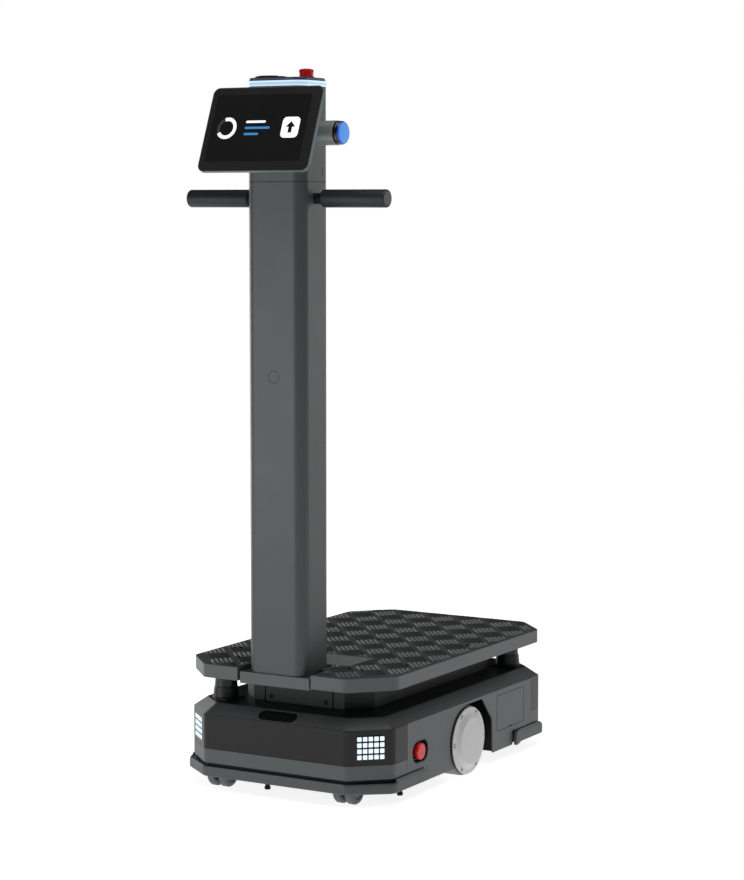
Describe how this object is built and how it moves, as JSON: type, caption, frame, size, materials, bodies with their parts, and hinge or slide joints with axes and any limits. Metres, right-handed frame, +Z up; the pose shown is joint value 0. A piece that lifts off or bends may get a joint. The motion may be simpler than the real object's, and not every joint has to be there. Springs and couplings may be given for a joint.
{
  "type": "autonomous mobile robot",
  "caption": "Low wheeled transport robot with a load platform, bumpers and swivel casters, and a front column that carries push handles, a tilted tablet, a start button and an emergency stop.",
  "frame": {"origin": "on the floor under the middle of the robot's box", "axes": "+Z up, -Y the robot's front (camera and tablet side), +X the robot's own left"},
  "size_m": [0.513, 0.8676, 1.475],
  "materials": {
    "shell_abs": "fine-grained moulded ABS, dark warm grey",
    "band_acrylic": "smoked acrylic lens",
    "light_guide": "opal polycarbonate",
    "window_acrylic": "black infrared-passing acrylic",
    "camera_black": "anodised black camera body",
    "deck_paint": "matt black powder coat",
    "frame_paint": "black powder coat on welded steel",
    "battery_case": "moulded battery case",
    "controller_case": "folded and anodised",
    "steel": "machined steel",
    "tyre_rubber": "grey non-marking rubber tread",
    "hub_aluminium": "turned aluminium",
    "cover_paint": "silver paint on pressed steel",
    "caster_nylon": "glass-filled nylon",
    "caster_polyurethane": "grey polyurethane",
    "bumper_rubber": "moulded soft edge",
    "scanner_black": "black moulded scanner housing",
    "tray_paint": "cast aluminium, dark powder coat",
    "mat_rubber": "ribbed rubber mat",
    "column_paint": "extruded aluminium, warm grey powder coat",
    "head_abs": "moulded ABS",
    "ring_acrylic": "opal acrylic light ring",
    "puck_plastic": "moulded cover",
    "collar_plastic": "dark moulded ring",
    "stop_red": "red moulded head",
    "cup_plastic": "black moulded cup",
    "button_black": "black moulded collar",
    "button_blue": "translucent blue cap",
    "bar_steel": "black tube",
    "grip_rubber": "soft rubber grip",
    "tablet_shell": "anodised back shell",
    "tablet_glass": "cover glass over a dark display",
    "socket_nylon": "black nylon socket with brass pins"
  },
  "bodies": {
    "robot_base": {"front_shell": "shell_abs", "rear_shell": "shell_abs", "side_panel_left": "shell_abs", "side_panel_right": "shell_abs", "front_light_band": "band_acrylic", "rear_light_band": "band_acrylic", "light_guides": "light_guide", "camera_window": "window_acrylic", "depth_camera": "camera_black", "deck_plate": "deck_paint", "tub_skirt": "deck_paint", "pedestal": "deck_paint", "chassis_frame": "frame_paint", "column_foot": "frame_paint", "battery_pack": "battery_case", "controller_box": "controller_case", "drive_axle_brackets": "steel", "caster_plates": "steel", "load_posts": "steel", "laser_scanners": "scanner_black", "platform_tray": "tray_paint", "foot_cover": "tray_paint", "platform_mat": "mat_rubber", "column": "column_paint", "head_casing": "head_abs", "top_cap": "head_abs", "tablet_bracket": "head_abs", "blind_plug": "head_abs", "light_ring": "ring_acrylic", "sensor_puck": "puck_plastic", "top_stop_collar": "collar_plastic", "side_stop_cups": "cup_plastic", "button_housing": "button_black", "button_collar": "button_black", "handle_bar": "bar_steel", "handle_grips": "grip_rubber", "tablet_back": "tablet_shell", "tablet_glass": "tablet_glass", "charge_socket": "socket_nylon"},
    "front_bumper": {"front_bumper": "bumper_rubber"},
    "rear_bumper": {"rear_bumper": "bumper_rubber"},
    "drive_wheel_left": {"tyre_left": "tyre_rubber", "hub_motor_left": "hub_aluminium", "wheel_cover_left": "cover_paint"},
    "drive_wheel_right": {"tyre_right": "tyre_rubber", "hub_motor_right": "hub_aluminium", "wheel_cover_right": "cover_paint"},
    "side_stop_left": {"side_stop_left": "stop_red"},
    "side_stop_right": {"side_stop_right": "stop_red"},
    "top_stop_head": {"top_stop_head": "stop_red"},
    "start_button": {"start_button": "button_blue"},
    "service_hatch": {"service_hatch": "shell_abs"},
    "caster_fork_front_left": {"caster_fork_front_left": "caster_nylon"},
    "caster_wheels_front_left": {"caster_wheels_front_left": "caster_polyurethane"},
    "caster_fork_front_right": {"caster_fork_front_right": "caster_nylon"},
    "caster_wheels_front_right": {"caster_wheels_front_right": "caster_polyurethane"},
    "caster_fork_rear_left": {"caster_fork_rear_left": "caster_nylon"},
    "caster_wheels_rear_left": {"caster_wheels_rear_left": "caster_polyurethane"},
    "caster_fork_rear_right": {"caster_fork_rear_right": "caster_nylon"},
    "caster_wheels_rear_right": {"caster_wheels_rear_right": "caster_polyurethane"}
  },
  "joints": [
    {"name": "front_bumper_press", "type": "slide", "parent": "robot_base", "child": "front_bumper", "axis": [0, 1, 0], "range_m": [0, 0.0025], "stiffness_N_per_m": 8000, "springref_m": -0.001},
    {"name": "rear_bumper_press", "type": "slide", "parent": "robot_base", "child": "rear_bumper", "axis": [0, -1, 0], "range_m": [0, 0.0025], "stiffness_N_per_m": 8000, "springref_m": -0.001},
    {"name": "drive_wheel_left_turn", "type": "hinge", "parent": "robot_base", "child": "drive_wheel_left", "pos_m": [0.219, 0.02183, 0.075], "axis": [1, 0, 0], "continuous": true},
    {"name": "side_stop_left_press", "type": "slide", "parent": "robot_base", "child": "side_stop_left", "axis": [-1, 0, 0], "range_m": [0, 0.004], "stiffness_N_per_m": 1500, "springref_m": -0.002},
    {"name": "drive_wheel_right_turn", "type": "hinge", "parent": "robot_base", "child": "drive_wheel_right", "pos_m": [-0.219, 0.02183, 0.075], "axis": [1, 0, 0], "continuous": true},
    {"name": "side_stop_right_press", "type": "slide", "parent": "robot_base", "child": "side_stop_right", "axis": [1, 0, 0], "range_m": [0, 0.004], "stiffness_N_per_m": 1500, "springref_m": -0.002},
    {"name": "caster_swivel_front_left", "type": "hinge", "parent": "robot_base", "child": "caster_fork_front_left", "pos_m": [0.152, -0.30417, 0.06], "axis": [0, 0, 1], "continuous": true},
    {"name": "caster_roll_front_left", "type": "hinge", "parent": "caster_fork_front_left", "child": "caster_wheels_front_left", "pos_m": [0.152, -0.31717, 0.0275], "axis": [1, 0, 0], "continuous": true},
    {"name": "caster_swivel_front_right", "type": "hinge", "parent": "robot_base", "child": "caster_fork_front_right", "pos_m": [-0.152, -0.30417, 0.06], "axis": [0, 0, 1], "continuous": true},
    {"name": "caster_roll_front_right", "type": "hinge", "parent": "caster_fork_front_right", "child": "caster_wheels_front_right", "pos_m": [-0.152, -0.31717, 0.0275], "axis": [1, 0, 0], "continuous": true},
    {"name": "caster_swivel_rear_left", "type": "hinge", "parent": "robot_base", "child": "caster_fork_rear_left", "pos_m": [0.152, 0.37783, 0.06], "axis": [0, 0, 1], "continuous": true},
    {"name": "caster_roll_rear_left", "type": "hinge", "parent": "caster_fork_rear_left", "child": "caster_wheels_rear_left", "pos_m": [0.152, 0.36483, 0.0275], "axis": [1, 0, 0], "continuous": true},
    {"name": "caster_swivel_rear_right", "type": "hinge", "parent": "robot_base", "child": "caster_fork_rear_right", "pos_m": [-0.152, 0.37783, 0.06], "axis": [0, 0, 1], "continuous": true},
    {"name": "caster_roll_rear_right", "type": "hinge", "parent": "caster_fork_rear_right", "child": "caster_wheels_rear_right", "pos_m": [-0.152, 0.36483, 0.0275], "axis": [1, 0, 0], "continuous": true},
    {"name": "top_stop_press", "type": "slide", "parent": "robot_base", "child": "top_stop_head", "axis": [0, 0, -1], "range_m": [0, 0.003], "stiffness_N_per_m": 1500, "springref_m": -0.002},
    {"name": "start_button_press", "type": "slide", "parent": "robot_base", "child": "start_button", "axis": [-1, 0, 0], "range_m": [0, 0.003], "stiffness_N_per_m": 1000, "springref_m": -0.002},
    {"name": "service_hatch_swing", "type": "hinge", "parent": "robot_base", "child": "service_hatch", "pos_m": [0.24175, 0.22283, 0.141], "axis": [0, -1, 0], "range_deg": [0, 80]}
  ]
}
